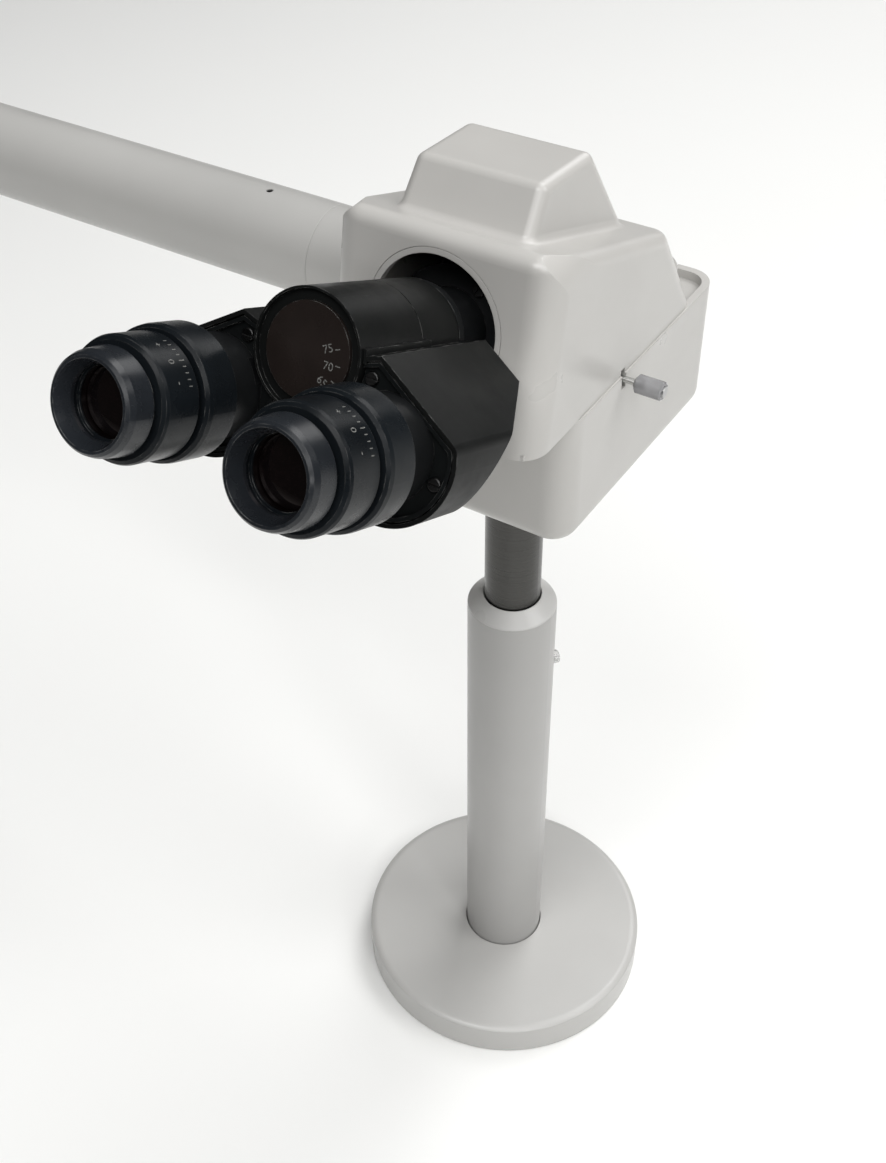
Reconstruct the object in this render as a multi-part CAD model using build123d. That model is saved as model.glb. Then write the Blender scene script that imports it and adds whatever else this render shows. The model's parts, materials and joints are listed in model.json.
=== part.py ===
from build123d import *
import os
from math import cos, sin, tan, radians, degrees, sqrt, atan2, hypot

# Second-observer binocular head on a telescopic pedestal, fed by a horizontal relay tube.
# Millimetres. Origin: centre of the base underside. +Z up, +X to the observer's right, -Y to
# the observer. The relay tube leaves the head along -X.

# ---- driving dimensions: stand ----
BASE_R = 80.0
BASE_TOP = 21.8
BASE_EDGE_Z = 20.0           # crease between the upright side and the rounded top edge
BASE_EDGE_WIDTH = 4.5
PAD_OUT_R = 77.0
PAD_PROUD = 0.6              # how far the rubber pad stands below the iron
PAD_THICK = 3.0
COLUMN_R = 21.8
COLUMN_BORE_R = 17.5
COLUMN_TOP = 279.8
COLUMN_FOOT = 8.0
CAP_CONE_H = 6.0
CAP_SLEEVE_FOOT = 205.0
POST_R = 13.6
POST_BORE_R = 10.0
RUNNING = 0.05               # radial clearance of every running fit
RING_GAP = 0.5               # shadow gap round the column's foot and round the post
APART = 0.3                  # gap between faces of bodies that move past each other
POST_FOOT = 120.0
FOOT_BUSH_TOP = 145.0
CLAMP_Z = 234.0
CLAMP_ANGLE = 50.0           # from +X towards +Y
CLAMP_R = 2.5
CLAMP_HEAD_R = 3.4
CLAMP_HEAD_H = 3.2

# ---- driving dimensions: optical axes ----
TILT = 25.0                  # barrel axis, rising towards the observer
FOLD_Y = 18.8                # where the barrel axis meets the relay tube axis
FOLD_Z = 429.4
BARREL_S = 178.3             # from the barrel's front disc to that point
BARREL_R = 21.5
HUB_SEAM = 40.0
HUB_REAR = 67.2
AXLE_R = 15.0
AXLE_BORE_R = 12.0
NECK_R = 17.0
NECK_END = 131.0
DISC_R = 16.8
AXLE_THREAD_R = 13.5
IPD = 70.2                   # eyepiece spacing as stored
EYE_DROP = 22.4              # eyepiece axes below the barrel axis
IPD_MIN = 50.0

# ---- driving dimensions: arms and eyepieces (depths run from the front disc towards the head) ----
ARM_FRONT = 1.0
ARM_REAR = 72.0
ARM_END_R = 26.0
ARM_END_OUT = 2.2            # the arm's round end is this far outside the eyepiece axis
ARM_TOP_OFFSET = 21.1        # flat upper face, from the eyepiece axis
ARM_TOP_SLOPE = 31.5
SOCKET_FLANGE_R = 18.0
PLATE_SCREW_R = 2.4
ARM_RIDGE = (28.0, 6.4)      # upper corner of the arm, and the foot of its slope to the hub
ARM_VALLEY = (21.3, 4.3)
ARM_WALL = 2.6
PLATE_FRONT = 3.0
PLATE_THICK = 2.5
CHAMFER_T = 40.0             # where the prism chamfer starts, along the arm
CHAMFER_END_T = 67.0
CHAMFER_END_S = 28.0
PRISM_W = 16.0
EYE_FRONT = -63.5
EYE_GROOVE_1 = -52.1
EYE_GROOVE_2 = -32.2
RING_REAR = -15.8
EYE_RIM_R = 16.2
EYE_CUP_R = 18.0
EYE_BODY_R = 21.2
RING_R = 23.3
EYE_BARREL_R = 15.0
SLEEVE_R = 17.0
SOCKET_R = 18.5
SOCKET_FRONT = -26.5

# ---- driving dimensions: head ----
PART_Z = FOLD_Z              # joint line between casing and cover
CASE_HALF = 49.5
CASE_FRONT = -46.0
CASE_REAR = 88.0
CASE_FLOOR = 366.0
CASE_CORNER_R = 12.0
CASE_BOTTOM_R = 9.0
CASE_WALL = 3.5
COVER_HALF = 48.7
COVER_WALL = 3.0
FACE_LEAN = 10.0
FACE_Y = -66.0               # front face at the opening's height
FACE_Z = 473.3
TOP_FRONT_Y = -59.6
TOP_FRONT_Z = 509.5
TOP_REAR_Y = 36.8
TOP_REAR_Z = 474.6
COVER_REAR_Y = 65.7
ROOF_R = 6.0
SHOULDER_R = 18.0            # big rounding of the upper corners at the front
HUMP_TOP_Z = 521.5
HUMP_TOP_FRONT_Y = -33.0
HUMP_TOP_REAR_Y = 3.0
HUMP_TOP_REAR_Z = 518.7
HUMP_HALF_TOP = 28.0
HUMP_FLARE = 0.065
OPENING_R = 26.9
BEZEL_R = 29.2
TUBE_R = 22.5
TUBE_BORE_R = 19.5
SPIGOT_END_X = -109.0
TUBE_END_X = -370.0
FLANGE_R = 31.0
FLANGE_T = 8.0
FLANGE_PCD = 52.0
FLANGE_HOLE_R = 2.25
PILOT_R = 19.0
PILOT_L = 4.0
LEVER_Y = -1.0
LEVER_Z = 427.4
LEVER_R = 1.4
SLOT_H = 9.0
SLOT_W = 3.4

# ---- derived ----
FLANGE_TOP = CASE_FLOOR + CASE_WALL + 14.0   # top of the flange the head is bolted to
AXIS_A = Vector(0, cos(radians(TILT)), -sin(radians(TILT)))
BARREL_O = Vector(0, FOLD_Y, FOLD_Z) - AXIS_A * BARREL_S
BARREL = Plane(origin=BARREL_O, x_dir=(1, 0, 0), z_dir=-AXIS_A).location
EYE_X = IPD / 2
ARM_LEN = hypot(EYE_X, EYE_DROP)
ARM_REST = degrees(atan2(EYE_X, EYE_DROP))
LOW = (Align.CENTER, Align.CENTER, Align.MIN)


# ---- helpers ----
def disc(r, z0, z1):
    """Upright cylinder from height z0 to z1."""
    return Pos(0, 0, z0) * Cylinder(r, z1 - z0, align=LOW)


def tube(r_out, r_in, z0, z1):
    """Upright tube from height z0 to z1."""
    return disc(r_out, z0, z1) - disc(r_in, z0 - 1, z1 + 1)


def deep(r, s0, s1):
    """Cylinder on the barrel axis, in barrel coordinates, from depth s0 to s1."""
    return disc(r, -s1, -s0)


def deep_tube(r_out, r_in, s0, s1):
    return deep(r_out, s0, s1) - deep(r_in, s0 - 1, s1 + 1)


def box(x0, x1, y0, y1, z0, z1):
    return Pos(x0, y0, z0) * Box(x1 - x0, y1 - y0, z1 - z0, align=(Align.MIN,) * 3)


def revolved(points):
    """Solid of revolution about Z from (radius, height) points."""
    outline = Polyline(*[(r, 0, z) for r, z in points], close=True)
    return revolve(make_face(outline), Axis.Z)


def slab(points, half, plane=Plane.YZ):
    """Polygon in a plane, extruded half to each side of it."""
    return extrude(plane * make_face(Polyline(*points, close=True)), half, both=True)


def on_x(x, y, z, shape):
    """Turn a shape built along +Z to point along +X at a place."""
    return Pos(x, y, z) * Rot(0, 90, 0) * shape


def screw(head_r, head_h, shank_r, shank_l):
    """Slotted cheese-head screw, head from z=0 up, shank down."""
    body = disc(head_r, 0, head_h) + disc(shank_r, -shank_l, 0)
    body = chamfer(body.edges().sort_by(Axis.Z)[-1], head_h * 0.2)
    return body - Pos(0, 0, head_h) * Box(head_r * 2.2, head_r * 0.3, head_h * 0.8)


def socket_screw(head_r, head_h, shank_r, shank_l):
    """Cap screw with a hexagon socket, head from z=0 up."""
    body = disc(head_r, 0, head_h) + disc(shank_r, -shank_l, 0)
    body = chamfer(body.edges().sort_by(Axis.Z)[-1], head_h * 0.12)
    hexagon = extrude(RegularPolygon(head_r * 0.5, 6), head_h * 0.6)
    return body - Pos(0, 0, head_h * 0.4 + 0.01) * hexagon


# ---- stand ----
def make_base_disc():
    edge_in = BASE_R - BASE_EDGE_WIDTH
    side = Line((BASE_R, 0, PAD_PROUD + 0.8), (BASE_R, 0, BASE_EDGE_Z))
    crown = ThreePointArc(
        (BASE_R, 0, BASE_EDGE_Z),
        (BASE_R - BASE_EDGE_WIDTH * 0.4, 0, BASE_EDGE_Z + (BASE_TOP - BASE_EDGE_Z) * 0.72),
        (edge_in, 0, BASE_TOP),
    )
    rest = Polyline(
        (edge_in, 0, BASE_TOP),
        (0, 0, BASE_TOP),
        (0, 0, PAD_PROUD),
        (BASE_R - 0.8, 0, PAD_PROUD),
        (BASE_R, 0, PAD_PROUD + 0.8),
    )
    body = revolve(make_face(side + crown + rest), Axis.Z)
    body -= disc(PAD_OUT_R + 0.2, 0, PAD_THICK)
    body -= disc(COLUMN_R + RING_GAP, COLUMN_FOOT + 4, BASE_TOP + 1)
    body -= disc(12.0, 0, COLUMN_FOOT + 1)
    body -= disc(5.5, 0, BASE_TOP)
    return body


def make_base_pad():
    return disc(PAD_OUT_R, 0, PAD_THICK)


def make_base_washer():
    return tube(11.0, 5.2, COLUMN_FOOT - 0.6, COLUMN_FOOT + 1)


def make_base_screw():
    return Pos(0, 0, COLUMN_FOOT - 0.6) * Rot(180, 0, 0) * socket_screw(8.0, 3.6, 5.0, 19.0)


def make_column_plug():
    foot = COLUMN_FOOT + 4
    return disc(COLUMN_BORE_R, foot, foot + 22) - disc(5.0, foot - 1, foot + 16)


def clamp_at(radius):
    """Place at a distance from the column axis, local +Z pointing outwards at the clamp."""
    return Pos(0, 0, CLAMP_Z) * Rot(0, 0, CLAMP_ANGLE) * Pos(radius, 0, 0) * Rot(0, 90, 0)


def make_column_tube():
    body = tube(COLUMN_R, COLUMN_BORE_R, COLUMN_FOOT + 4, COLUMN_TOP)
    return body - clamp_at(10) * disc(CLAMP_R + 0.2, 0, 20)


def make_column_cap():
    lip = POST_R + 0.9
    cone = revolved([
        (COLUMN_R, COLUMN_TOP),
        (COLUMN_R - 0.4, COLUMN_TOP + 0.8),
        (lip, COLUMN_TOP + CAP_CONE_H),
        (0, COLUMN_TOP + CAP_CONE_H),
        (0, COLUMN_TOP),
    ])
    body = cone + disc(COLUMN_BORE_R, CAP_SLEEVE_FOOT, COLUMN_TOP)
    body -= disc(POST_R + RUNNING, CAP_SLEEVE_FOOT - 1, COLUMN_TOP + CAP_CONE_H + 1)
    body -= disc(POST_R + RING_GAP, COLUMN_TOP + 2, COLUMN_TOP + CAP_CONE_H + 1)
    return body - clamp_at(10) * disc(CLAMP_R + RUNNING, 0, 20)


def make_clamp_pad():
    blank = clamp_at(POST_R - 1) * disc(CLAMP_R - 0.1, 0, 3.0)
    return blank - disc(POST_R + RUNNING, CLAMP_Z - 10, CLAMP_Z + 10)


def make_clamp_screw():
    start = POST_R + 2.05
    shank = clamp_at(start) * disc(CLAMP_R, 0, COLUMN_R + 1.0 - start)
    head = disc(CLAMP_HEAD_R, COLUMN_R + 0.7, COLUMN_R + 0.7 + CLAMP_HEAD_H)
    head = chamfer(head.edges().sort_by(Axis.Z)[-1], 0.5)
    for k in range(12):
        head -= Rot(0, 0, 30 * k) * Pos(CLAMP_HEAD_R + 0.1, 0, COLUMN_R) * Cylinder(0.4, 8, align=LOW)
    return shank + clamp_at(0) * head


# ---- telescopic post ----
def make_support_post():
    body = tube(POST_R, POST_BORE_R, POST_FOOT, FLANGE_TOP)
    body += disc(POST_BORE_R, POST_FOOT + 8, POST_FOOT + 30)
    body -= disc(4.0, POST_FOOT, POST_FOOT + 26)
    return chamfer(body.edges().filter_by(GeomType.CIRCLE).sort_by(Axis.Z)[0:1], 0.5)


def make_foot_bush():
    """Slides in the column bore; the post turns on it. Its rim stops the post pulling out."""
    body = tube(COLUMN_BORE_R - RUNNING, POST_R + RUNNING, POST_FOOT - 4, FOOT_BUSH_TOP)
    return body + tube(POST_R + 1, 4.4, POST_FOOT - 4, POST_FOOT - APART)


def make_foot_screw():
    return Pos(0, 0, POST_FOOT - 4) * Rot(180, 0, 0) * socket_screw(7.0, 4.0, 4.0 - RUNNING, 26.0)


def make_post_flange():
    body = tube(26.0, POST_R, CASE_FLOOR + CASE_WALL, FLANGE_TOP)
    holes = [Pos(x, y, 0) * disc(2.5, CASE_FLOOR, CASE_FLOOR + 30) for x, y in flange_spots()]
    return body - holes


def flange_spots():
    return [(19.5 * cos(radians(a)), 19.5 * sin(radians(a))) for a in (45, 135, 225, 315)]


def make_flange_screws():
    one = socket_screw(4.2, 4.0, 2.5, 17.0)
    return Compound([Pos(x, y, FLANGE_TOP) * one for x, y in flange_spots()])


# ---- casing and cover ----
def make_lower_casing():
    height = PART_Z - CASE_FLOOR
    mid_y = (CASE_FRONT + CASE_REAR) / 2
    depth = CASE_REAR - CASE_FRONT
    body = Pos(0, mid_y, CASE_FLOOR) * Box(2 * CASE_HALF, depth, height, align=LOW)
    body = fillet(body.edges().filter_by(Axis.Z), CASE_CORNER_R)
    body = fillet(body.faces().sort_by(Axis.Z)[0].edges(), CASE_BOTTOM_R)
    wall = CASE_WALL
    hollow = Pos(0, mid_y, CASE_FLOOR + wall) * Box(
        2 * (CASE_HALF - wall), depth - 2 * wall, height, align=LOW)
    hollow = fillet(hollow.edges().filter_by(Axis.Z), CASE_CORNER_R - wall)
    hollow = fillet(hollow.faces().sort_by(Axis.Z)[0].edges(), CASE_BOTTOM_R - wall)
    shell = body - hollow
    deck = box(-CASE_HALF + 2, CASE_HALF - 2, COVER_REAR_Y - 6, CASE_REAR - 2, PART_Z - 7, PART_Z - 4)
    shell += deck & body
    notch = box(24, 30, CASE_REAR - 6, CASE_REAR + 1, PART_Z - 3, PART_Z + 1)
    shell -= notch
    shell -= disc(POST_R + 0.2, CASE_FLOOR - 1, CASE_FLOOR + 10)
    shell -= [Pos(x, y, 0) * disc(2.5, CASE_FLOOR - 1, CASE_FLOOR + 10) for x, y in flange_spots()]
    shell -= on_x(-60, FOLD_Y, FOLD_Z, disc(TUBE_R, 0, 20))
    shell -= box(40, 60, LEVER_Y - SLOT_W / 2, LEVER_Y + SLOT_W / 2, LEVER_Z - SLOT_H / 2, PART_Z + 1)
    for x, y in cover_screw_spots():
        shell += Pos(x, y, 0) * disc(5.0, CASE_FLOOR + 3, PART_Z - 0.2) & body
        shell -= Pos(x, y, 0) * disc(2.0, CASE_FLOOR - 1, PART_Z + 1)
        shell -= Pos(x, y, 0) * disc(3.8, CASE_FLOOR - 1, CASE_FLOOR + 9)
    return shell


def cover_screw_spots():
    return [(x, y) for x in (-41.0, 41.0) for y in (-32.0, 50.0)]


def make_cover_screws():
    one = Rot(180, 0, 0) * socket_screw(3.5, 3.5, 2.0, PART_Z - CASE_FLOOR + 3)
    return Compound([Pos(x, y, CASE_FLOOR + 9) * one for x, y in cover_screw_spots()])


def face_y(z):
    """Front face of the cover: it leans back as it rises."""
    return FACE_Y + (z - FACE_Z) * tan(radians(FACE_LEAN))


def cover_profile(inset, floor):
    """Side outline of the cover, moved inwards by a wall."""
    rear_slope = (COVER_REAR_Y - TOP_REAR_Y) / (TOP_REAR_Z - PART_Z)
    return [
        (face_y(floor) + inset, floor),
        (face_y(TOP_FRONT_Z) + inset, TOP_FRONT_Z - inset),
        (TOP_REAR_Y - inset * 0.5, TOP_REAR_Z - inset),
        (COVER_REAR_Y + rear_slope * (PART_Z - floor) - inset * 1.2, floor),
    ]


def hump_profile(inset):
    return [
        (HUMP_TOP_FRONT_Y + inset * 0.6, HUMP_TOP_Z - inset),
        (HUMP_TOP_REAR_Y - inset * 0.6, HUMP_TOP_REAR_Z - inset),
        (32.0 - inset, 471.4 - inset),
        (-44.0, 471.4 - inset),
        (-49.0 + inset * 1.2, 500.2 - inset * 0.4),
    ]


def hump_solid(inset):
    body = slab(hump_profile(inset), 45)
    half = HUMP_HALF_TOP - inset
    drop = 60.0
    foot = half + drop * HUMP_FLARE
    top = HUMP_TOP_Z + 1
    flank = [(-half, top), (half, top), (foot, top - drop), (-foot, top - drop)]
    return body & slab(flank, 90, Plane.XZ)


def upright_edges(body, low_y, high_y, low_z):
    """Edges that run up the block's corners, within a range of depth and above a height."""
    upright = [e for e in body.edges() if abs(e.tangent_at(0.5).X) < 0.01]
    return [e for e in upright if low_y < e.center().Y < high_y and e.center().Z > low_z]


def cover_block(inset, half, floor, front_r, rear_r, roof_r):
    """The cover's main form without its hump: a wedge with rounded corners and roof edge."""
    body = slab(cover_profile(inset, floor), half)
    body = fillet(upright_edges(body, -90, -50, floor), front_r)
    body = fillet(upright_edges(body, 40, 90, floor + 5), rear_r)
    roof = [f for f in body.faces() if f.center().Z > 480 and f.normal_at(f.center()).Z > 0.9]
    body = fillet(roof[0].edges(), roof_r)
    return body & shoulders(inset, half)


def shoulders(inset, half):
    """Upper corners that run level along the cover; its sloping roof leaves them towards the rear."""
    top = TOP_FRONT_Z - inset
    section = Plane.XZ * Pos(0, top - 60) * Rectangle(2 * half, 120)
    section = fillet(section.vertices().group_by(Axis.Z)[-1], SHOULDER_R - inset)
    return extrude(section, 120, both=True)


def make_upper_cover():
    body = cover_block(0, COVER_HALF, PART_Z, CASE_CORNER_R, 9.0, ROOF_R)
    hump = hump_solid(0)
    hump = fillet(hump.edges().filter_by(lambda e: e.center().Z > 490 and e.length > 15), 4.5)
    body += hump
    body = fillet([e for e in body.edges() if on_hump_foot(e)], 3.5)
    inner_half = COVER_HALF - COVER_WALL - 1.5
    body -= cover_block(COVER_WALL, inner_half, PART_Z - 1, CASE_CORNER_R - 4, 5.0, 4.0)
    body -= hump_solid(COVER_WALL)
    lip_floor = box(-COVER_HALF + 5, COVER_HALF - 5, -72, CASE_FRONT - APART, PART_Z, PART_Z + 2.5)
    body += lip_floor
    body -= face_frame() * Pos(0, 0, -20) * Cylinder(OPENING_R + 0.9, 40)
    body -= face_frame() * Pos(0, 0, 0.01) * Cylinder(BEZEL_R + 0.15, 2.4)
    body -= on_x(-60, FOLD_Y, FOLD_Z, disc(TUBE_R, 0, 20))
    body -= box(40, 60, LEVER_Y - SLOT_W / 2, LEVER_Y + SLOT_W / 2, PART_Z - 1, LEVER_Z + SLOT_H / 2)
    for x, y in cover_screw_spots():
        post = Pos(x, y, 0) * disc(4.5, PART_Z, PART_Z + 30)
        body += post & slab(cover_profile(0.5, PART_Z), COVER_HALF - 0.5)
        body -= Pos(x, y, 0) * disc(2.0, PART_Z - 1, PART_Z + 14)
    return body


def roof_z(y):
    """Height of the cover's roof plane."""
    fall = (TOP_REAR_Z - TOP_FRONT_Z) / (TOP_REAR_Y - TOP_FRONT_Y)
    return TOP_FRONT_Z + (y - TOP_FRONT_Y) * fall


def on_hump_foot(edge):
    """True for an edge of the loop where the hump stands on the roof."""
    spots = [edge.position_at(t) for t in (0, 0.5, 1)]
    flat = all(abs(p.Z - roof_z(p.Y)) < 0.02 for p in spots)
    return flat and all(abs(p.X) < 35 and -48 < p.Y < 30 for p in spots)


def face_frame():
    """Place on the cover's front face at the opening, local +Z pointing out."""
    lean = radians(FACE_LEAN)
    return Plane(origin=(0, FACE_Y, FACE_Z), x_dir=(1, 0, 0), z_dir=(0, -cos(lean), sin(lean))).location


def make_bezel_ring():
    ring = Cylinder(BEZEL_R, 1.1, align=LOW) - Cylinder(OPENING_R, 5)
    ring += (Cylinder(OPENING_R + 0.8, 4.0, align=LOW) - Cylinder(OPENING_R, 12)).moved(Pos(0, 0, -2.9))
    return face_frame() * Pos(0, 0, -1.1) * ring


# ---- optics block inside the head ----
def make_optics_block():
    """Casting that carries the mount ring, the fold prism and the relay tube's inner end."""
    inner = 21.02
    outer = 27.0
    front = FOLD_Y - 54
    rear = FOLD_Y + 24
    body = box(-outer, outer, front, rear, FLANGE_TOP, FLANGE_TOP + 6)
    for x0, x1 in ((-outer, -inner), (inner, outer)):
        cheek = [(front, FLANGE_TOP), (rear, FLANGE_TOP), (rear, FOLD_Z + 18), (-10, FOLD_Z + 32),
                 (-22, FOLD_Z + 38), (front, FOLD_Z + 4)]
        body += Pos((x0 + x1) / 2, 0, 0) * slab(cheek, (x1 - x0) / 2)
    body -= disc(POST_R + 2, FLANGE_TOP - 1, FLANGE_TOP + 7)
    body -= on_x(-40, FOLD_Y, FOLD_Z, disc(15.0, 0, 30))
    body -= box(20, 28, LEVER_Y - 6, LEVER_Y + 6, LEVER_Z - 9, LEVER_Z + 9)
    for x, y in flange_spots():
        body -= Pos(x, y, 0) * disc(4.8, FLANGE_TOP - 1, FLANGE_TOP + 30)
    return body


def make_mount_ring():
    """Black seat ring behind the opening: the binocular's neck turns in it."""
    flange = deep_tube(25.6, NECK_R + RUNNING, 95.0, 100.0)
    tail = deep_tube(21.0, NECK_R + RUNNING, 100.0, 112.0)
    guard = deep_tube(21.0, NECK_R + 0.6, 112.0, 127.9)
    return BARREL * (flange + tail + guard) - mount_screw_at() * disc(1.65, -8, 10)


def mount_screw_at():
    return BARREL * Rot(0, 0, 62.0) * Pos(21.3, 0, -95.0)


def make_mount_screw():
    return mount_screw_at() * screw(2.6, 1.6, 1.6, 6.0)


def make_fold_prism():
    """Right-angle-type prism: light enters along +X from the tube and leaves up the barrel."""
    bend = (Vector(-1, 0, 0) - AXIS_A).normalized()
    side = Vector(-1, 0, 0).cross(AXIS_A).normalized()
    frame = Plane(origin=(0, FOLD_Y, FOLD_Z), x_dir=side, z_dir=bend).location
    block = frame * Box(24, 34, 24, align=LOW)
    tube_side = Plane(origin=(-12, FOLD_Y, FOLD_Z), z_dir=(-1, 0, 0)).location
    mouth = Vector(0, FOLD_Y, FOLD_Z) - AXIS_A * 12
    barrel_side = Plane(origin=mouth, z_dir=-AXIS_A).location
    beyond = Box(90, 90, 60, align=LOW)
    return block - tube_side * beyond - barrel_side * beyond


def make_prism_seat():
    """Bracket behind the prism's mirror face, standing on the optics block's floor."""
    bend = (Vector(-1, 0, 0) - AXIS_A).normalized()
    side = Vector(-1, 0, 0).cross(AXIS_A).normalized()
    frame = Plane(origin=(0, FOLD_Y, FOLD_Z), x_dir=side, z_dir=bend).location
    plate = frame * Pos(0, 0, -0.02) * Box(26, 36, 4, align=(Align.CENTER, Align.CENTER, Align.MAX))
    floor = FLANGE_TOP + 6
    stalk = box(-4, 9.8, FOLD_Y - 2, FOLD_Y + 10, floor, FOLD_Z - 8)
    stalk -= frame * Pos(0, 0, -2) * Box(60, 80, 60, align=LOW)
    return plate + stalk


# ---- relay tube ----
def make_tube_spigot():
    """Short fixed stub that the long tube pushes onto."""
    inside = -COVER_HALF + COVER_WALL + 1.6
    body = disc(TUBE_R, SPIGOT_END_X, inside)
    body += disc(TUBE_BORE_R - RUNNING, SPIGOT_END_X - 30, SPIGOT_END_X)
    body += disc(TUBE_R + 3, inside, inside + 3)
    body += disc(TUBE_R - 2, inside + 3, -27.02)
    body -= disc(16.0, SPIGOT_END_X - 31, 0)
    return on_x(0, FOLD_Y, FOLD_Z, body)


def make_relay_tube():
    body = tube(TUBE_R, TUBE_BORE_R, TUBE_END_X + FLANGE_T, SPIGOT_END_X - 0.15)
    body = on_x(0, FOLD_Y, FOLD_Z, body)
    inner_end = body.edges().filter_by(GeomType.CIRCLE).group_by(Axis.X)[-1]
    body = chamfer(inner_end.sort_by(SortBy.LENGTH)[-1], 0.3)
    return body - tube_screw_at() * disc(1.65, -12, 10)


def tube_screw_at():
    return Pos(-144.0, FOLD_Y, FOLD_Z + TUBE_R)


def make_tube_set_screw():
    grub = disc(1.6, -3.8, -0.6)
    return tube_screw_at() * (grub - Pos(0, 0, -1.6) * extrude(RegularPolygon(0.9, 6), 2))


def make_tube_flange():
    """Coupling flange at the far end: pilot and four bolt holes for the main instrument."""
    body = disc(FLANGE_R, 0, FLANGE_T) + disc(TUBE_BORE_R - 0.02, FLANGE_T, FLANGE_T + 14)
    body += disc(PILOT_R, -PILOT_L, 0)
    body -= disc(15.0, -PILOT_L - 1, FLANGE_T + 15)
    for k in range(4):
        hole = Rot(0, 0, 45 + 90 * k) * Pos(FLANGE_PCD / 2, 0, 0)
        body -= hole * disc(FLANGE_HOLE_R, -1, FLANGE_T + 1)
    return on_x(TUBE_END_X, FOLD_Y, FOLD_Z, body)


def lens(radius, thickness, bulge):
    """Biconvex lens centred at z=0."""
    big = (radius * radius + bulge * bulge) / (2 * bulge)
    front = Pos(0, 0, thickness / 2 + bulge - big) * Sphere(big)
    back = Pos(0, 0, -thickness / 2 - bulge + big) * Sphere(big)
    return front & back & Cylinder(radius, thickness + 4 * bulge)


def make_relay_lens(x):
    return on_x(x, FOLD_Y, FOLD_Z, lens(TUBE_BORE_R - 3.0, 3.0, 1.6))


def make_relay_cell(x):
    ring = tube(TUBE_BORE_R - 0.02, TUBE_BORE_R - 3.0, -5, 5)
    return on_x(x, FOLD_Y, FOLD_Z, ring)


# ---- pointer lever ----
def make_pointer_ball():
    ball = Sphere(4.5) - Cylinder(LEVER_R + RUNNING, 20)
    return on_x(CASE_HALF - 9.0, LEVER_Y, LEVER_Z, ball)


def make_pointer_socket():
    """Plate inside the casing wall that holds the lever's ball."""
    wall_in = CASE_HALF - CASE_WALL
    body = box(wall_in - 12.5, wall_in - 2.0, LEVER_Y - 10, LEVER_Y + 10, CASE_FLOOR + 20, LEVER_Z + 1)
    body += box(wall_in - 12.5, wall_in, LEVER_Y - 10, LEVER_Y + 10, CASE_FLOOR + 20, LEVER_Z - 12)
    body -= Pos(CASE_HALF - 9.0, LEVER_Y, LEVER_Z) * Sphere(4.5 + APART)
    slot = box(wall_in - 20, wall_in + 5, LEVER_Y - 1.9, LEVER_Y + 1.9, LEVER_Z - 6, LEVER_Z + 6)
    return body - slot


def make_pointer_rod():
    rod = disc(LEVER_R, -CASE_HALF + 1, 9.0)
    needle = Pos(0, 0, -CASE_HALF + 2) * Rot(0, -90, 0) * Cylinder(0.5, 10.0, align=LOW)
    return on_x(CASE_HALF, LEVER_Y, LEVER_Z, rod + needle)


def make_pointer_knob():
    body = revolved([(0, 5.2), (2.4, 5.2), (4.0, 6.4), (4.0, 17.2), (3.4, 17.8), (0, 17.8)])
    body -= disc(LEVER_R, 0, 9.0)
    return on_x(CASE_HALF, LEVER_Y, LEVER_Z, body)


def make_knob_insert():
    return on_x(CASE_HALF, LEVER_Y, LEVER_Z, disc(2.4, 17.81, 18.4))


# ---- binocular ----
def make_axle():
    """Fixed hollow axle of both arms, with its thrust collar and the neck that enters the head."""
    body = deep(AXLE_THREAD_R, 3.6, 7.5) + deep(AXLE_R, 7.2, 70.0)
    body += deep(20.8, HUB_REAR + APART, 71.0) + deep(NECK_R, 71.0, NECK_END)
    body -= deep(AXLE_BORE_R, 0, NECK_END + 1)
    body -= box(-18, 2.0, -18, 14.5, -31.5, -8.5)
    body -= box(-2.0, 18, -18, 14.5, -65.5, -42.5)
    return BARREL * body


def make_axle_nut():
    return BARREL * (deep_tube(15.9, AXLE_THREAD_R, 3.8, 6.9) - box(-20, 20, -1, 1, -5, 0))


def make_neck_clip():
    """Retaining ring in the neck's groove, inside the head."""
    return BARREL * deep_tube(NECK_R + 2.2, NECK_R, 128.2, 130.2)


def make_scale_disc():
    return BARREL * deep(DISC_R - 0.05, 0.8, 2.6)


def wing_outline(grow):
    """Arm section looking along the barrel axis, for the right-hand arm; grow moves it outwards."""
    hub = make_face(Circle(BARREL_R + 0.01).edge())
    end = make_face((Pos(EYE_X + ARM_END_OUT, -EYE_DROP) * Circle(ARM_END_R + grow)).edge())
    body = make_hull(hub.edges() + end.edges())
    slope = Pos(EYE_X, -EYE_DROP) * Rot(0, 0, -ARM_TOP_SLOPE)
    body -= slope * Pos(0, ARM_TOP_OFFSET + grow + 50) * Rectangle(300, 100)
    body -= valley(grow)
    spare = ARM_REST - arm_angle(IPD_MIN)
    body -= Rot(0, 0, spare + 1.2) * Pos(-100 - grow, -60) * Rectangle(200, 240)
    outer = body.vertices().sort_by(Axis.X)[-3:]
    corner = max(outer, key=lambda v: v.Y)
    return fillet(corner, 5.0 + grow)


def valley(grow):
    """Room above the arm between its upper corner and the hub."""
    (x0, y0), (x1, y1) = ARM_VALLEY, ARM_RIDGE
    rise = (y1 - y0) / (x1 - x0)
    corner = x1 - grow
    edge = [(0, y0 - rise * x0 + grow), (corner, y0 + rise * (corner - x0) + grow), (corner, 60), (0, 60)]
    return make_face(Polyline(*edge, close=True))


def arm_angle(spacing):
    """Angle of an arm from straight down at an eyepiece spacing."""
    return degrees(atan2(spacing / 2, sqrt(ARM_LEN ** 2 - (spacing / 2) ** 2)))


def wing(grow, s0, s1):
    return extrude(Pos(0, 0, -s1) * wing_outline(grow), s1 - s0)


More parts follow.
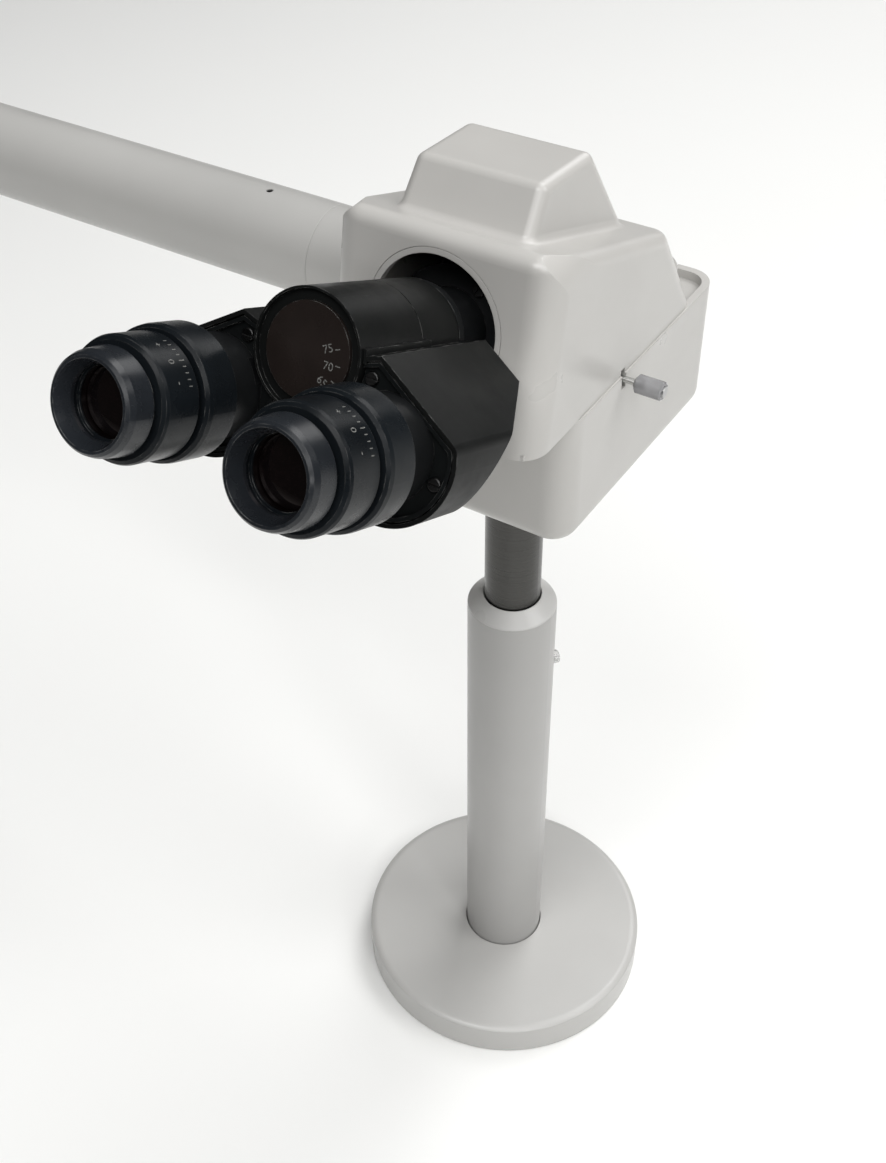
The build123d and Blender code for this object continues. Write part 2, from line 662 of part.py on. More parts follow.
def along_arm(points, half):
    """Polygon of (distance along the arm, -depth), extruded to both sides of the arm's mid-plane."""
    rest = radians(ARM_REST)
    plane = Plane(origin=(0, 0, 0), x_dir=(sin(rest), -cos(rest), 0), z_dir=(-cos(rest), -sin(rest), 0))
    return slab(points, half, plane)


def beyond_chamfer(inset):
    """Everything past the slanting rear face over the arm's outer prism mirror."""
    slope = (ARM_REAR - CHAMFER_END_S) / (CHAMFER_END_T - CHAMFER_T)
    t0 = CHAMFER_T - inset * 1.2
    return along_arm([(t0, -ARM_REAR), (t0 + 70, -ARM_REAR + 70 * slope), (t0 + 70, -ARM_REAR)], 80)


def handed(side, body):
    """The right-hand shape, or its mirror image for the left arm, placed on the barrel axis."""
    return BARREL * (body if side > 0 else mirror(body, Plane.YZ))


def hub_depths(side):
    """Start and end of the arm's own hub along the barrel axis."""
    return (HUB_SEAM + 0.2, HUB_REAR) if side > 0 else (0.0, HUB_SEAM - 0.1)


def prism_front(side):
    return 46.0 if side > 0 else 12.0


def make_arm_housing(side):
    body = wing(0, ARM_FRONT, ARM_REAR) - beyond_chamfer(0)
    cavity = wing(-ARM_WALL, PLATE_FRONT + PLATE_THICK, ARM_REAR - ARM_WALL) - beyond_chamfer(ARM_WALL)
    cavity -= deep(BARREL_R + ARM_WALL, 0, 80)
    body -= cavity
    body -= wing(-1.6, ARM_FRONT - 1, PLATE_FRONT + PLATE_THICK)
    s0, s1 = hub_depths(side)
    start = prism_front(side) - 0.5
    if side > 0:
        body -= deep(BARREL_R + 0.4, 0, s0 - 0.1)
        body += arm_lip()
        body -= deep(BARREL_R + 0.4, HUB_REAR, 80)
    else:
        body -= deep(BARREL_R + 0.4, s1 + 0.05, 80)
    hub = fillet(deep(BARREL_R, s0, s1).edges().sort_by(Axis.Z)[:1], 2.0 if side > 0 else 0.3)
    body = body + hub - deep(AXLE_R + RUNNING, -5, 80)
    if side < 0:
        body -= deep(BARREL_R - 0.9, -1, 2.2)
        body -= deep(DISC_R, -1, 3.0)
        body -= deep(DISC_R - 0.5, 0, 7.2)
    body -= along_arm([(5, -start - 17), (26, -start - 17), (26, -start), (5, -start)], 8.5)
    return handed(side, body)


def arm_lip():
    """Thin guard on the right arm that follows the front hub's curve."""
    guard = deep_tube(BARREL_R + 1.6, BARREL_R + 0.4, ARM_FRONT, HUB_SEAM + 3)
    return guard & box(14, 30, 2, 6.9, -HUB_SEAM - 3, 0)


def make_arm_plate(side):
    body = wing(-1.7, PLATE_FRONT, PLATE_FRONT + PLATE_THICK)
    body += wing(-2.1, ARM_FRONT + 0.4, PLATE_FRONT) - wing(-3.6, 0, PLATE_FRONT)
    body -= deep(BARREL_R + 0.6, 0, 10)
    body -= Pos(EYE_X, -EYE_DROP) * deep(SOCKET_R, 0, 10)
    if side > 0:
        body -= deep(BARREL_R + 1.7, 0, 10) & box(13, 31, 1.9, 15, -10, 0)
    for x, y in plate_screw_spots():
        body -= Pos(x, y) * deep(1.25, 0, 10)
        body -= Pos(x, y) * deep(PLATE_SCREW_R + 0.2, 0, PLATE_FRONT)
    return handed(side, body)


def plate_screw_spots():
    around = [(EYE_X + 21.9 * cos(radians(a)), -EYE_DROP + 21.9 * sin(radians(a))) for a in (-15, -85)]
    return [(25.6, -1.8)] + around


def make_arm_screws(side):
    one = screw(PLATE_SCREW_R, 1.4, 1.25, 6.0)
    spots = [Pos(x, y, -PLATE_FRONT) * one for x, y in plate_screw_spots()]
    return handed(side, Compound(spots))


def make_arm_prism(side):
    """Rhomboid prism that carries the light from the barrel axis out to the eyepiece."""
    s0 = prism_front(side)
    half = PRISM_W / 2
    rear = -(s0 + PRISM_W)
    outline = [(-half, rear), (ARM_LEN - half, rear), (ARM_LEN + half, -s0), (half, -s0)]
    return handed(side, along_arm(outline, half))


def eye_at(side):
    """Place on an eyepiece axis at the barrel's front plane, local +Z towards the observer."""
    return BARREL * Pos(side * EYE_X, -EYE_DROP, 0)


def make_eyepiece_socket(side):
    body = deep(SOCKET_R, SOCKET_FRONT, PLATE_FRONT + PLATE_THICK)
    body += deep(SOCKET_FLANGE_R, PLATE_FRONT + PLATE_THICK, 8.0)
    hub_room = Pos(-side * EYE_X, EYE_DROP) * deep(BARREL_R + ARM_WALL + 0.05, 0, 9)
    return eye_at(side) * (body - hub_room - deep(SLEEVE_R + RUNNING, SOCKET_FRONT - 1, 9.0))


def make_dioptre_sleeve(side):
    return eye_at(side) * deep_tube(SLEEVE_R, EYE_BARREL_R + RUNNING, EYE_GROOVE_2, -4.0)


def make_dioptre_ring(side):
    front = -EYE_GROOVE_2 - 0.3
    rear = -RING_REAR
    body = revolved([
        (SLEEVE_R + RUNNING, front),
        (RING_R - 1.4, front),
        (RING_R - 0.3, front - 1.0),
        (RING_R, front - 3.0),
        (RING_R, rear + 1.0),
        (RING_R - 0.8, rear),
        (SOCKET_R + 0.4, rear),
        (SOCKET_R + 0.4, front - 3.0),
        (SLEEVE_R + RUNNING, front - 3.0),
    ])
    return eye_at(side) * body


def make_eyepiece_body(side):
    rest = -EYE_GROOVE_2
    groove = -EYE_GROOVE_1
    body = revolved([
        (12.0, -2.0),
        (EYE_BARREL_R, -2.0),
        (EYE_BARREL_R, rest),
        (SLEEVE_R - 0.3, rest),
        (SLEEVE_R - 0.3, rest + 0.8),
        (EYE_BODY_R - 1.0, rest + 0.8),
        (EYE_BODY_R, rest + 2.0),
        (EYE_BODY_R, groove - 3.4),
        (EYE_BODY_R - 0.5, groove - 2.2),
        (EYE_BODY_R - 1.8, groove - 1.4),
        (16.4, groove - 1.4),
        (16.4, groove),
        (14.0, groove),
        (14.0, groove + 4.0),
        (13.0, groove + 4.0),
        (13.0, groove + 2.0),
        (12.0, groove + 2.0),
    ])
    return eye_at(side) * body


def make_eyecup_ring(side):
    foot = -EYE_GROOVE_1
    front = -EYE_FRONT
    body = revolved([
        (14.0, foot),
        (EYE_CUP_R - 0.5, foot),
        (EYE_CUP_R, foot + 0.7),
        (EYE_CUP_R - 0.6, front - 3.2),
        (EYE_RIM_R + 0.4, front - 1.0),
        (EYE_RIM_R - 0.6, front),
        (EYE_RIM_R - 1.6, front),
        (12.4, foot + 5.6),
        (12.4, foot + 4.0),
        (14.0, foot + 4.0),
    ])
    return eye_at(side) * body


def make_eyepiece_lenses(side):
    eye_lens = Pos(0, 0, -EYE_GROOVE_1 + 0.2) * lens(11.98, 2.0, 1.0)
    field_lens = Pos(0, 0, 4.0) * lens(11.98, 2.4, 1.2)
    return eye_at(side) * Compound([eye_lens, field_lens])


# ---- the whole object ----
def relay_stations():
    return (-300.0, -190.0)


def make_all():
    nodes = {
        "base_disc": make_base_disc(),
        "base_pad": make_base_pad(),
        "base_washer": make_base_washer(),
        "base_screw": make_base_screw(),
        "column_plug": make_column_plug(),
        "column_tube": make_column_tube(),
        "column_cap": make_column_cap(),
        "clamp_pad": make_clamp_pad(),
        "clamp_screw": make_clamp_screw(),
        "foot_bush": make_foot_bush(),
        "foot_screw": make_foot_screw(),
        "support_post": make_support_post(),
        "post_flange": make_post_flange(),
        "flange_screws": make_flange_screws(),
        "lower_casing": make_lower_casing(),
        "upper_cover": make_upper_cover(),
        "cover_screws": make_cover_screws(),
        "bezel_ring": make_bezel_ring(),
        "optics_block": make_optics_block(),
        "mount_ring": make_mount_ring(),
        "mount_screw": make_mount_screw(),
        "fold_prism": make_fold_prism(),
        "prism_seat": make_prism_seat(),
        "tube_spigot": make_tube_spigot(),
        "relay_tube": make_relay_tube(),
        "tube_set_screw": make_tube_set_screw(),
        "tube_flange": make_tube_flange(),
        "relay_lenses": Compound([make_relay_lens(x) for x in relay_stations()]),
        "relay_cells": Compound([make_relay_cell(x) for x in relay_stations()]),
        "pointer_socket": make_pointer_socket(),
        "pointer_ball": make_pointer_ball(),
        "pointer_rod": make_pointer_rod(),
        "pointer_knob": make_pointer_knob(),
        "knob_insert": make_knob_insert(),
        "arm_axle": make_axle(),
        "axle_nut": make_axle_nut(),
        "neck_clip": make_neck_clip(),
        "scale_disc": make_scale_disc(),
    }
    for name, side in (("left", -1), ("right", 1)):
        nodes[name + "_arm_housing"] = make_arm_housing(side)
        nodes[name + "_arm_plate"] = make_arm_plate(side)
        nodes[name + "_arm_screws"] = make_arm_screws(side)
        nodes[name + "_arm_prism"] = make_arm_prism(side)
        nodes[name + "_eyepiece_socket"] = make_eyepiece_socket(side)
        nodes[name + "_dioptre_sleeve"] = make_dioptre_sleeve(side)
        nodes[name + "_dioptre_ring"] = make_dioptre_ring(side)
        nodes[name + "_eyepiece_body"] = make_eyepiece_body(side)
        nodes[name + "_eyecup_ring"] = make_eyecup_ring(side)
        nodes[name + "_eyepiece_lenses"] = make_eyepiece_lenses(side)
    return nodes


os.makedirs("parts", exist_ok=True)
for node, shape in make_all().items():
    export_step(shape, f"parts/{node}.step")
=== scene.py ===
"""Looks of a second-observer binocular head on its pedestal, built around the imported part."""
import json
import math

import bmesh
import bpy
from mathutils import Matrix, Vector


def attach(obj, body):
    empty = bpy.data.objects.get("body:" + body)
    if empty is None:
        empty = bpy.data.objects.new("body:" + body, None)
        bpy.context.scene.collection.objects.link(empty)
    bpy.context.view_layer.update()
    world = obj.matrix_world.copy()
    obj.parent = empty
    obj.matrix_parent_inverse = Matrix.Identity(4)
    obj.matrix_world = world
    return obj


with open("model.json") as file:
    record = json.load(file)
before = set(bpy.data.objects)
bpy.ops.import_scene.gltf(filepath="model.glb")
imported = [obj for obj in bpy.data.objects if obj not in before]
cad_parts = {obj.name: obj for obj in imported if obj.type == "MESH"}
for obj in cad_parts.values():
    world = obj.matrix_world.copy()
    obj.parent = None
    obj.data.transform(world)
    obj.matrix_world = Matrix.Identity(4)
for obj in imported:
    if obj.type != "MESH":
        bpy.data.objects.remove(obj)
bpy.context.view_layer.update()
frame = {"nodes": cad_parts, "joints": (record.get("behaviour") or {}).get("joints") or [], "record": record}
NODES = frame["nodes"]
JOINTS = {joint["name"]: joint for joint in frame["joints"]}
SLOT_OF = {part["node"]: part["material_slot"] for part in frame["record"]["subparts"]}
MM = 0.001


# ---- places taken from the frame ----
def pivot(name):
    return Vector(JOINTS[name]["pos_m"])


def direction(name):
    return Vector(JOINTS[name]["axis"]).normalized()


OBSERVER = direction("binocular_turn")          # along the barrel, towards the observer
SIDE = Vector((1, 0, 0))
UPWARD = OBSERVER.cross(SIDE)                   # across the barrel, upwards


def local_frame(origin):
    """Place with X to the right, Y up across the barrel and Z towards the observer."""
    place = Matrix((SIDE, UPWARD, OBSERVER)).transposed().to_4x4()
    place.translation = origin
    return place


DISC_FRONT = local_frame(pivot("binocular_turn"))


# ---- node helpers ----
class Shader:
    """A material's node tree with short ways to add what every finish here uses."""

    def __init__(self, name):
        self.material = bpy.data.materials.new(name)
        self.material.use_nodes = True
        self.tree = self.material.node_tree
        self.bsdf = self.tree.nodes["Principled BSDF"]
        self.coords = self.add("TexCoord").outputs["Object"]

    def add(self, kind, **settings):
        node = self.tree.nodes.new("ShaderNode" + kind)
        for key, value in settings.items():
            setattr(node, key, value)
        return node

    def link(self, source, target):
        self.tree.links.new(source, target)

    def set(self, **values):
        """Uniform values straight on the shader's sockets; underscores stand for spaces."""
        for key, value in values.items():
            self.bsdf.inputs[key.replace("_", " ")].default_value = value

    def stretched(self, scale):
        mapping = self.add("Mapping")
        mapping.inputs["Scale"].default_value = scale
        self.link(self.coords, mapping.inputs["Vector"])
        return mapping.outputs["Vector"]

    def noise(self, scale, detail=3.0, rough=0.55, vector=None):
        node = self.add("TexNoise")
        node.inputs["Scale"].default_value = scale
        node.inputs["Detail"].default_value = detail
        node.inputs["Roughness"].default_value = rough
        self.link(vector or self.coords, node.inputs["Vector"])
        return node.outputs["Fac"]

    def between(self, value, low, high, start=0.0, end=1.0):
        node = self.add("MapRange")
        node.inputs["From Min"].default_value = low
        node.inputs["From Max"].default_value = high
        node.inputs["To Min"].default_value = start
        node.inputs["To Max"].default_value = end
        self.link(value, node.inputs["Value"])
        return node.outputs["Result"]

    def times(self, a, b):
        node = self.add("Math", operation="MULTIPLY")
        self.link(a, node.inputs[0])
        self.link(b, node.inputs[1])
        return node.outputs[0]

    def mix(self, factor, a, b):
        node = self.add("Mix", data_type="RGBA")
        for socket, value in ((node.inputs["Factor"], factor), (node.inputs[6], a), (node.inputs[7], b)):
            if hasattr(value, "is_output"):
                self.link(value, socket)
            else:
                socket.default_value = value
        return node.outputs[2]

    def edges(self, radius):
        """Rounded normal, and a mask that is 1 on sharp outer edges."""
        bevel = self.add("Bevel", samples=4)
        bevel.inputs["Radius"].default_value = radius
        flat = self.add("NewGeometry").outputs["Normal"]
        dot = self.add("VectorMath", operation="DOT_PRODUCT")
        self.link(bevel.outputs["Normal"], dot.inputs[0])
        self.link(flat, dot.inputs[1])
        return bevel.outputs["Normal"], self.between(dot.outputs["Value"], 0.985, 0.85)

    def bump(self, height, strength, distance, normal=None):
        node = self.add("Bump")
        node.inputs["Strength"].default_value = strength
        node.inputs["Distance"].default_value = distance
        self.link(height, node.inputs["Height"])
        if normal is not None:
            self.link(normal, node.inputs["Normal"])
        return node.outputs["Normal"]


def rgb(red, green, blue):
    return (red, green, blue, 1.0)


def scaled(colour, factor):
    return rgb(*[min(1.0, channel * factor) for channel in colour[:3]])


# ---- finishes ----
def enamel(name, colour, rough=0.34, peel=0.05, grime=0.06):
    """Stove enamel: slight orange peel, faint handling marks and a soft coat."""
    s = Shader(name)
    rounded, edge = s.edges(0.5 * MM)
    cloud = s.noise(9.0, 4.0)
    tone = s.mix(s.between(cloud, 0.35, 0.7), scaled(colour, 1.015), scaled(colour, 1 - grime))
    scuffs = s.between(s.noise(420.0, 2.0), 0.6, 0.72)
    tone = s.mix(s.times(edge, scuffs), tone, scaled(colour, 0.72))
    s.link(tone, s.bsdf.inputs["Base Color"])
    s.link(s.between(s.noise(30.0, 4.0), 0.3, 0.7, rough - 0.05, rough + 0.07), s.bsdf.inputs["Roughness"])
    s.link(s.bump(s.noise(520.0, 1.0), peel, 0.1 * MM, rounded), s.bsdf.inputs["Normal"])
    s.set(Specular_IOR_Level=0.5, Coat_Weight=0.25, Coat_Roughness=0.22)
    return s.material


def black_satin(name, colour, rough=0.42, grain=0.10, wear=rgb(0.16, 0.16, 0.155), shine=0.20):
    """Black paint on a casting: fine grain, rubbed edges and fingerprints."""
    s = Shader(name)
    rounded, edge = s.edges(0.35 * MM)
    cloud = s.noise(26.0, 5.0, 0.6)
    tone = s.mix(s.between(cloud, 0.35, 0.7), scaled(colour, 0.8), scaled(colour, 1.35))
    rub = s.times(edge, s.between(s.noise(240.0, 4.0), 0.45, 0.62))
    tone = s.mix(rub, tone, wear)
    s.link(tone, s.bsdf.inputs["Base Color"])
    prints = s.between(s.noise(44.0, 6.0, 0.65), 0.35, 0.7, rough - 0.07, rough + 0.10)
    s.link(prints, s.bsdf.inputs["Roughness"])
    s.link(s.bump(s.noise(1500.0, 2.0), grain, 0.08 * MM, rounded), s.bsdf.inputs["Normal"])
    s.set(Specular_IOR_Level=shine)
    return s.material


def turned_metal(name, colour, rough=0.3, lines=(30.0, 30.0, 4000.0), strength=0.12, anisotropic=0.5):
    """Bare metal with fine turning or brushing lines across the stretched direction."""
    s = Shader(name)
    rounded, edge = s.edges(0.25 * MM)
    streak = s.noise(1.0, 3.0, 0.6, s.stretched(lines))
    tone = s.mix(s.between(streak, 0.3, 0.7), scaled(colour, 0.86), scaled(colour, 1.1))
    tone = s.mix(s.between(s.noise(40.0, 5.0), 0.62, 0.8), tone, scaled(colour, 0.7))
    # sharp edges are painted lighter all round: a painted edge highlight, not wear
    s.link(s.mix(edge, tone, scaled(colour, 1.25)), s.bsdf.inputs["Base Color"])
    s.link(s.between(streak, 0.3, 0.7, rough - 0.06, rough + 0.08), s.bsdf.inputs["Roughness"])
    s.link(s.bump(streak, strength, 0.05 * MM, rounded), s.bsdf.inputs["Normal"])
    s.set(Metallic=1.0, Anisotropic=anisotropic)
    return s.material


def rubber(name, colour):
    s = Shader(name)
    dust = s.between(s.noise(60.0, 5.0), 0.5, 0.75)
    s.link(s.mix(dust, colour, scaled(colour, 2.0)), s.bsdf.inputs["Base Color"])
    s.link(s.between(dust, 0.0, 1.0, 0.75, 0.92), s.bsdf.inputs["Roughness"])
    s.link(s.bump(s.noise(1100.0, 3.0), 0.3, 0.1 * MM), s.bsdf.inputs["Normal"])
    s.set(Specular_IOR_Level=0.35)
    return s.material


def plain_plastic(name, colour, rough=0.45):
    s = Shader(name)
    rounded, edge = s.edges(0.3 * MM)
    tone = s.mix(s.between(s.noise(50.0, 4.0), 0.3, 0.7), scaled(colour, 0.93), scaled(colour, 1.05))
    # sharp edges are painted lighter all round: a painted edge highlight, not wear
    s.link(s.mix(edge, tone, scaled(colour, 1.15)), s.bsdf.inputs["Base Color"])
    s.link(s.between(s.noise(180.0, 3.0), 0.3, 0.7, rough - 0.06, rough + 0.06), s.bsdf.inputs["Roughness"])
    s.link(s.bump(s.noise(900.0, 2.0), 0.06, 0.05 * MM, rounded), s.bsdf.inputs["Normal"])
    return s.material


def clear_knob(name, colour):
    """Smoky translucent plastic."""
    s = Shader(name)
    cloud = s.noise(160.0, 4.0)
    s.link(s.mix(s.between(cloud, 0.3, 0.7), colour, scaled(colour, 0.85)), s.bsdf.inputs["Base Color"])
    s.link(s.between(cloud, 0.3, 0.7, 0.12, 0.24), s.bsdf.inputs["Roughness"])
    s.link(s.bump(s.noise(700.0, 2.0), 0.04, 0.05 * MM), s.bsdf.inputs["Normal"])
    s.set(Transmission_Weight=0.55, IOR=1.49)
    return s.material


def coated_lens(name, colour, sheen_colour):
    """Dark, wet-looking lens surface with a coloured antireflection coating."""
    s = Shader(name)
    dust = s.noise(500.0, 3.0)
    s.link(s.mix(s.between(dust, 0.45, 0.8), colour, scaled(colour, 2.0)), s.bsdf.inputs["Base Color"])
    s.link(s.between(dust, 0.4, 0.8, 0.03, 0.08), s.bsdf.inputs["Roughness"])
    s.set(Specular_IOR_Level=0.8, Specular_Tint=sheen_colour)
    return s.material


def optical_glass(name):
    s = Shader(name)
    haze = s.noise(200.0, 3.0)
    s.link(s.mix(haze, rgb(0.86, 0.93, 0.92), rgb(0.80, 0.88, 0.88)), s.bsdf.inputs["Base Color"])
    s.link(s.between(haze, 0.3, 0.7, 0.01, 0.04), s.bsdf.inputs["Roughness"])
    s.set(Transmission_Weight=1.0, IOR=1.52)
    return s.material


def white_ink(name):
    s = Shader(name)
    worn = s.between(s.noise(1500.0, 4.0), 0.42, 0.6)
    s.link(s.mix(worn, rgb(0.06, 0.06, 0.056), rgb(0.22, 0.22, 0.21)), s.bsdf.inputs["Base Color"])
    s.link(s.between(worn, 0.0, 1.0, 0.7, 0.5), s.bsdf.inputs["Roughness"])
    return s.material


IVORY = rgb(0.47, 0.46, 0.44)
FINISH = {
    "base_paint": enamel("base_enamel", rgb(0.47, 0.465, 0.45), 0.36),
    # column and cap share one paint: the column's colour is darkened as painted shade, the cap's is lightened
    # as painted light
    "column_paint": enamel("column_enamel_painted_shade", rgb(0.385, 0.38, 0.37), 0.36),
    "cap_paint": enamel("cap_enamel_painted_light", rgb(0.62, 0.615, 0.60), 0.30),
    "housing_paint": enamel("housing_enamel", IVORY, 0.32),
    "bezel_paint": enamel("bezel_enamel", scaled(IVORY, 0.95), 0.40),
    # the tube's paint is a darker copy of the housing's: painted shade for its dim underside
    "tube_paint": enamel("tube_enamel_painted_shade", rgb(0.43, 0.425, 0.41), 0.38),
    "black_rubber": rubber("pad_rubber", rgb(0.022, 0.022, 0.022)),
    "zinc_steel": turned_metal("zinc_plate", rgb(0.62, 0.62, 0.60), 0.35),
    "nylon": plain_plastic("natural_nylon", rgb(0.74, 0.73, 0.66), 0.5),
    "screw_steel": turned_metal("screw_steel", rgb(0.55, 0.55, 0.54), 0.28),
    "bearing_bronze": turned_metal("bearing_bronze", rgb(0.60, 0.42, 0.20), 0.32),
    "post_steel": turned_metal("post_steel", rgb(0.072, 0.071, 0.068), 0.28, strength=0.08, anisotropic=0.3),
    "bare_aluminium": turned_metal("bare_aluminium", rgb(0.44, 0.44, 0.44), 0.34),
    "black_anodised": black_satin("anodised_black", rgb(0.008, 0.0085, 0.009), 0.34, 0.05, shine=0.12),
    "black_steel": turned_metal("blackened_steel", rgb(0.05, 0.05, 0.05), 0.35),
    "optical_glass": optical_glass("crown_glass"),
    "coated_glass": coated_lens("coated_glass", rgb(0.002, 0.0012, 0.0012), rgb(1.0, 0.86, 0.84)),
    "grey_knob": clear_knob("smoky_acrylic", rgb(0.42, 0.42, 0.43)),
    "scale_black": black_satin("disc_black", rgb(0.012, 0.009, 0.008), 0.30, 0.04, shine=0.15),
    "arm_black": black_satin("arm_black", rgb(0.0058, 0.0062, 0.0061), 0.36, 0.08, shine=0.09),
    "arm_plate_black": black_satin("plate_black", rgb(0.0052, 0.006, 0.0062), 0.36, 0.05, shine=0.12),
    "eyepiece_black": black_satin("eyepiece_black", rgb(0.0058, 0.0074, 0.009), 0.28, 0.05, shine=0.12),
    "eyecup_black": black_satin("eyecup_black", rgb(0.013, 0.015, 0.018), 0.26, 0.04, shine=0.30),
    "ink": white_ink("white_ink"),
}


def finish_nodes():
    """Every CAD node gets its slot's finish."""
    for name, obj in NODES.items():
        obj.data.materials.clear()
        obj.data.materials.append(FINISH[SLOT_OF[name]])


# ---- painted marks ----
SCALE_CENTRE = Vector((-3.6, -2.6, 0)) * MM      # the spacing scale's own centre on the disc
SCALE_FACE = -0.8 * MM                           # the disc's face, below the barrel's front plane
NUMBER_R = 12.7 * MM
NUMBER_STEP = math.radians(5.2)                  # angle for each millimetre of spacing
TICK_R = 16.4 * MM
TICK_STEP = math.radians(3.9)
TICK_START = math.radians(3.5)
NUMBER_H = 2.8 * MM
EYE_BODY_R = 21.2 * MM
DIOPTRE_ZERO = math.radians(50.0)                # where the dioptre row's middle is, round the eyepiece
DIOPTRE_STEP = math.radians(6.0)
DIOPTRE_SIGN = math.radians(20.0)                # angle from the zero to the plus and the minus
DIOPTRE_TICKS_OUT = 37.5 * MM                    # distances from the barrel's front plane
DIOPTRE_FIGURES_OUT = 42.6 * MM
DIOPTRE_FIGURE_H = 2.6 * MM
CAP_HEIGHT = 0.69                                # of the built-in font, as a share of its size
MARK_LIFT = 0.02 * MM                            # paint stands this far proud of the surface


def painted(name, place, body, ink_object):
    """Put a painted mark in its place on a moving body."""
    ink_object.name = name
    ink_object.matrix_world = place
    ink_object.data.materials.append(FINISH["ink"])
    bpy.context.scene.collection.objects.link(ink_object)
    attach(ink_object, body)


def figure(text, height):
    """Printed figure of a cap height, centred on its place."""
    data = bpy.data.curves.new("figure", "FONT")
    data.body = text
    data.size = height / CAP_HEIGHT
    data.align_x = "CENTER"
    data.align_y = "CENTER"
    data.extrude = MARK_LIFT
    data.resolution_u = 6
    return bpy.data.objects.new("figure", data)


def tick(length, width):
    """Engraved and filled line with rounded ends, lying along local X."""
    shape = bmesh.new()
    turns = [math.pi * step / 8 for step in range(9)]
    half = length / 2 - width / 2
    right = [(half + width / 2 * math.sin(a), width / 2 * math.cos(a)) for a in turns]
    left = [(-x, -y) for x, y in right]
    face = shape.faces.new([shape.verts.new((x, y, -MARK_LIFT)) for x, y in reversed(right + left)])
    top = bmesh.ops.extrude_face_region(shape, geom=[face])["geom"]
    lifted = [item for item in top if isinstance(item, bmesh.types.BMVert)]
    bmesh.ops.translate(shape, verts=lifted, vec=(0, 0, 2 * MARK_LIFT))
    bmesh.ops.recalc_face_normals(shape, faces=shape.faces)
    mesh = bpy.data.meshes.new("tick")
    shape.to_mesh(mesh)
    shape.free()
    return bpy.data.objects.new("tick", mesh)


def scale_place(radius, angle):
    """On the disc's face at an angle round the scale's centre, X pointing outwards."""
    spot = SCALE_CENTRE + Vector((radius * math.cos(angle), radius * math.sin(angle), SCALE_FACE))
    return DISC_FRONT @ Matrix.Translation(spot) @ Matrix.Rotation(angle, 4, "Z")


def make_spacing_scale():
    for spacing in (75, 70, 65):
        place = scale_place(NUMBER_R, (spacing - 70) * NUMBER_STEP)
        painted(f"scale_number_{spacing}", place, "left_arm", figure(str(spacing), NUMBER_H))
        place = scale_place(TICK_R, (spacing - 70) * TICK_STEP + TICK_START)
        painted(f"scale_tick_{spacing}", place, "left_arm", tick(1.9 * MM, 0.35 * MM))


def eyepiece_place(side, angle, out):
    """On an eyepiece's cylinder: X round it, Y away from the observer, Z outwards."""
    axis = local_frame(pivot(side + "_dioptre_turn"))
    centre = local_frame(pivot("binocular_turn")).inverted() @ axis.translation
    normal = Vector((math.cos(angle), math.sin(angle), 0))
    away = Vector((0, 0, -1))
    place = Matrix((away.cross(normal), away, normal)).transposed().to_4x4()
    place.translation = Vector((centre.x, centre.y, out)) + normal * EYE_BODY_R
    return DISC_FRONT @ place


def make_dioptre_scale(side):
    """Generic row of dioptre ticks with a zero, round the eyepiece's body."""
    for step in range(-4, 5):
        angle = DIOPTRE_ZERO + DIOPTRE_STEP * step
        length = (2.6 if step == 0 else 1.6) * MM
        place = eyepiece_place(side, angle, DIOPTRE_TICKS_OUT) @ Matrix.Rotation(math.pi / 2, 4, "Z")
        painted(f"{side}_dioptre_tick_{step + 5}", place, side + "_eyepiece", tick(length, 0.35 * MM))
    for label, text, offset in (("zero", "0", 0), ("plus", "+", DIOPTRE_SIGN), ("minus", "-", -DIOPTRE_SIGN)):
        place = eyepiece_place(side, DIOPTRE_ZERO + offset, DIOPTRE_FIGURES_OUT)
        painted(f"{side}_dioptre_{label}", place, side + "_eyepiece", figure(text, DIOPTRE_FIGURE_H))


# ---- surroundings ----
def plain(name, colour):
    s = Shader(name)
    s.link(s.mix(s.noise(3.0), colour, scaled(colour, 0.985)), s.bsdf.inputs["Base Color"])
    s.set(Roughness=0.9, Specular_IOR_Level=0.1)
    return s.material


def make_floor():
    mesh = bpy.data.meshes.new("floor")
    shape = bmesh.new()
    bmesh.ops.create_circle(shape, cap_ends=True, segments=96, radius=9.0)
    shape.to_mesh(mesh)
    shape.free()
    floor = bpy.data.objects.new("floor", mesh)
    bpy.context.scene.collection.objects.link(floor)
    mesh.materials.append(plain("pale_floor", rgb(0.90, 0.90, 0.885)))


def area_light(name, place, target, size, power):
    data = bpy.data.lights.new(name, "AREA")
    data.shape = "DISK"
    data.size = size
    data.energy = power
    light = bpy.data.objects.new(name, data)
    light.location = place
    light.rotation_euler = (Vector(target) - Vector(place)).to_track_quat("-Z", "Y").to_euler()
    bpy.context.scene.collection.objects.link(light)


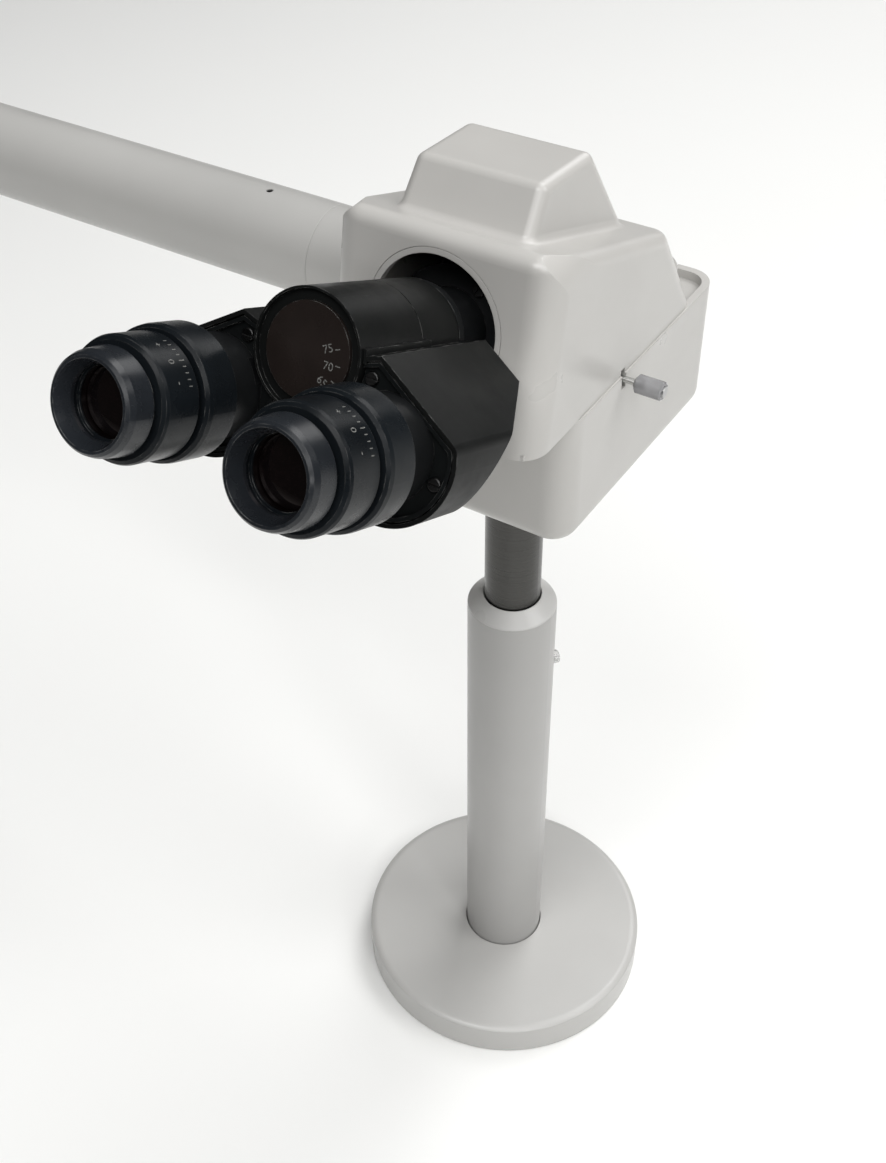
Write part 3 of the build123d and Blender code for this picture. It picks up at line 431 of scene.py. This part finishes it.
def make_light():
    world = bpy.data.worlds.new("studio")
    bpy.context.scene.world = world
    world.use_nodes = True
    backdrop = world.node_tree.nodes["Background"]
    backdrop.inputs["Color"].default_value = rgb(1.0, 1.0, 0.99)
    backdrop.inputs["Strength"].default_value = 0.03
    middle = (0.0, 0.0, 0.35)
    area_light("ceiling_middle", (0.6, 0.2, 3.2), middle, 2.2, 24.0)
    area_light("ceiling_front", (0.1, -1.6, 3.0), middle, 1.6, 38.0)
    area_light("ceiling_rear", (0.2, 1.6, 2.8), middle, 1.6, 31.0)
    area_light("ceiling_right", (2.0, 0.5, 2.5), middle, 1.6, 23.0)
    area_light("ceiling_corner", (1.5, -1.5, 2.5), middle, 1.6, 27.0)
    area_light("rear_wall", (0.0, 2.8, 1.8), middle, 1.6, 15.0)
    area_light("side_window", (2.8, -0.3, 0.9), middle, 1.4, 4.0)
    area_light("right_window", (2.4, -1.3, 1.3), middle, 0.5, 8.0)


def make_camera():
    """Looks down on the head from the observer's right, at the height of a standing person."""
    azimuth = math.radians(37.51)
    pitch = math.radians(42.88)
    roll = math.radians(-3.90)
    run = math.cos(pitch)
    ahead = Vector((-math.sin(azimuth) * run, math.cos(azimuth) * run, -math.sin(pitch)))
    level = ahead.cross(Vector((0, 0, 1))).normalized()
    over = level.cross(ahead)
    right = level * math.cos(roll) + over * math.sin(roll)
    up = over * math.cos(roll) - level * math.sin(roll)
    data = bpy.data.cameras.new("camera")
    data.sensor_width = 36.0
    data.lens = 46.497
    data.shift_x = 0.0744
    data.shift_y = 0.0205
    data.clip_start = 0.02
    camera = bpy.data.objects.new("camera", data)
    place = Matrix((right, up, -ahead)).transposed().to_4x4()
    place.translation = Vector((0.26555, -0.47070, 0.78052))
    camera.matrix_world = place
    bpy.context.scene.collection.objects.link(camera)
    bpy.context.scene.camera = camera


finish_nodes()
make_spacing_scale()
for eye in ("right", "left"):
    make_dioptre_scale(eye)
make_floor()
make_light()
make_camera()
bpy.context.scene.view_settings.view_transform = "Standard"
